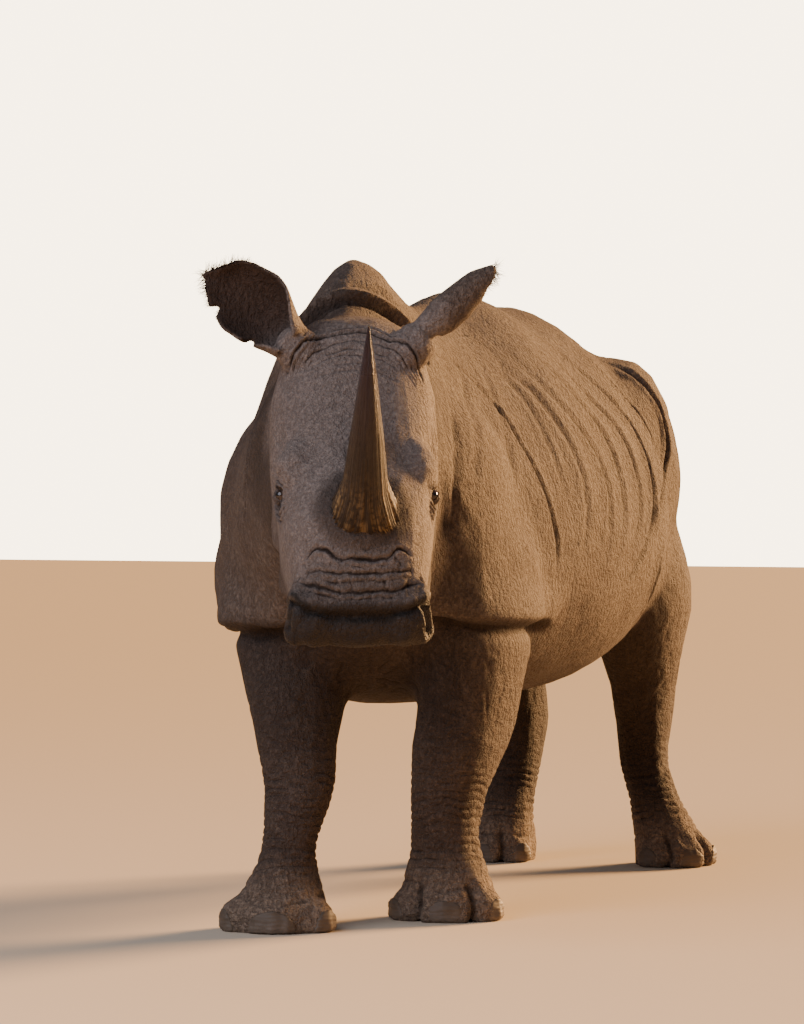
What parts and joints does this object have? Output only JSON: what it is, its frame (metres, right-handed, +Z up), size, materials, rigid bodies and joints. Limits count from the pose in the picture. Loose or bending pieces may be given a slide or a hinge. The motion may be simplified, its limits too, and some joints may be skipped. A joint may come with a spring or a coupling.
{
  "type": "white rhinoceros",
  "caption": "still model of a white rhinoceros in a slow walk, head low and turned to its left, with square lips, horns, shoulder hump, cupped ears, folded hide and broad toed feet",
  "frame": {"origin": "on the floor, below the centre of the animal's bounding box", "axes": "+Z up; the animal faces -Y, so +Y runs from its muzzle to its tail; +X points to its own left side"},
  "size_m": [1.1266, 3.2568, 1.7793],
  "materials": {
    "hide": "dry, dusty, creased grey-brown skin",
    "horn": "fibrous keratin, rough at the root and worn smooth at the tip",
    "eye": "wet and glossy, dark brown",
    "nail": "dull, scratched horn"
  },
  "bodies": {
    "root": {"trunk": "hide", "neck": "hide", "head": "hide", "leg_front_left": "hide", "leg_front_right": "hide", "leg_hind_left": "hide", "leg_hind_right": "hide", "ear_left": "hide", "ear_right": "hide", "tail": "hide", "horn_front": "horn", "horn_rear": "horn", "eye_left": "eye", "eye_right": "eye", "nail_front_left_right": "nail", "nail_front_left_middle": "nail", "nail_front_left_left": "nail", "nail_front_right_right": "nail", "nail_front_right_middle": "nail", "nail_front_right_left": "nail", "nail_hind_left_right": "nail", "nail_hind_left_middle": "nail", "nail_hind_left_left": "nail", "nail_hind_right_right": "nail", "nail_hind_right_middle": "nail", "nail_hind_right_left": "nail"}
  },
  "joints": []
}
